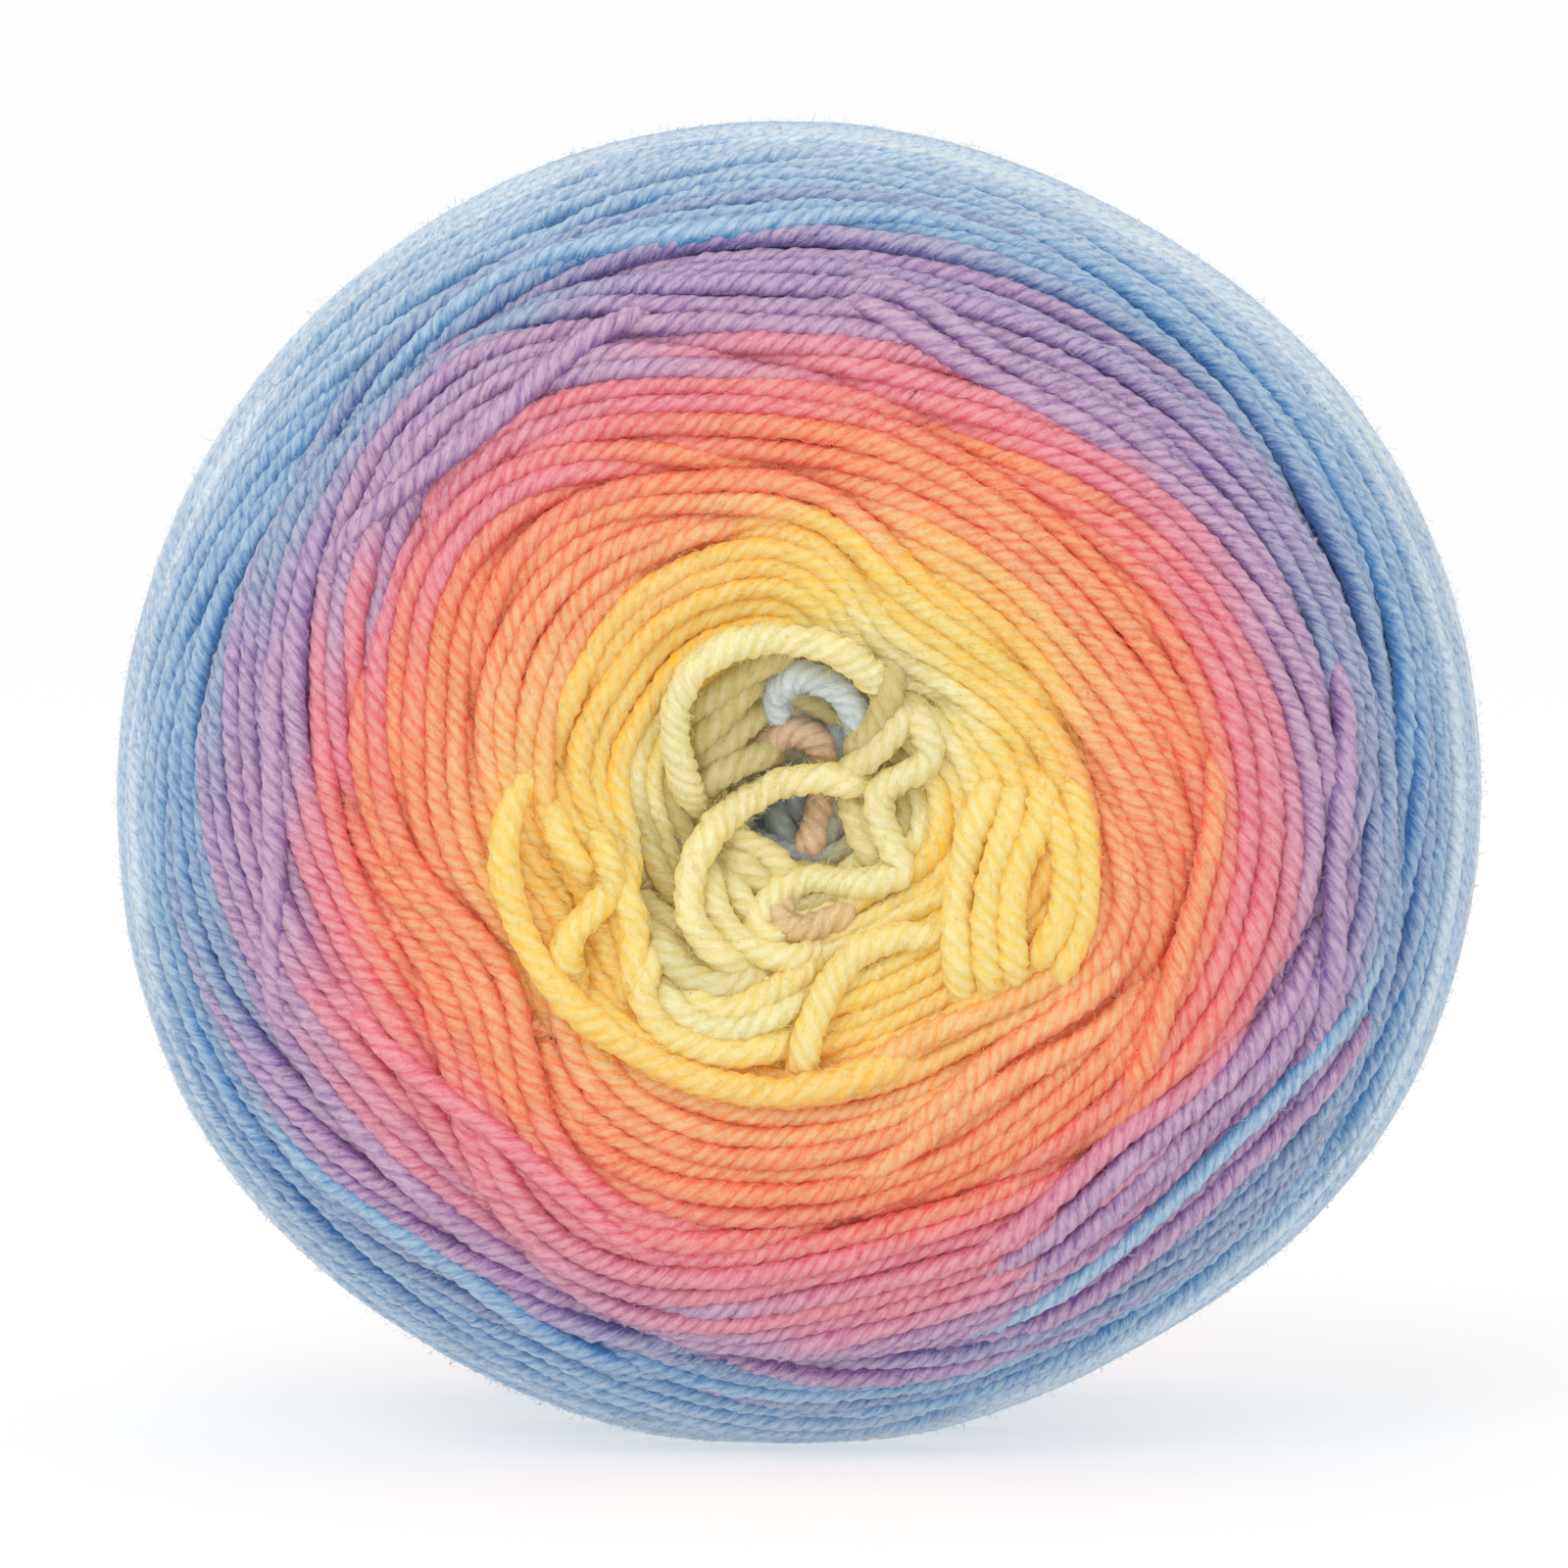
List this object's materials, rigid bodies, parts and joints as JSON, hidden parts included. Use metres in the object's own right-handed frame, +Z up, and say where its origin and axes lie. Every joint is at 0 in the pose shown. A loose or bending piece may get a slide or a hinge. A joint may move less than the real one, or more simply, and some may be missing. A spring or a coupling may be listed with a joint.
{
  "type": "yarn cake",
  "caption": "Thick drum of wound soft yarn standing on its rim, with colour bands on its hollow-centred face and slack loops of the inner yarn standing out of the middle.",
  "frame": {"origin": "on the surface that the cake stands on, under the middle of the roll", "axes": "+Z up, +Y along the winding axis from the banded face to the back face, +X to the right as the banded face is seen"},
  "size_m": [0.1307, 0.0836, 0.1251],
  "materials": {
    "wound_yarn": "Soft matt four-ply acrylic yarn, dyed in long stretches that run from yellow at the eye through orange, pink, purple and blue to pale blue at the rim.",
    "pale_yarn": "The same soft matt yarn where its dye is a pale greenish yellow.",
    "blue_yarn": "The same soft matt yarn where its dye is a pale grey blue.",
    "brown_yarn": "The same soft matt yarn where its dye is a pinkish brown."
  },
  "bodies": {
    "root": {"wound_body": "wound_yarn", "upper_loop_cord": "pale_yarn", "middle_loop_cord": "pale_yarn", "blue_loop_cord": "blue_yarn", "brown_loop_cord": "brown_yarn"}
  },
  "joints": []
}
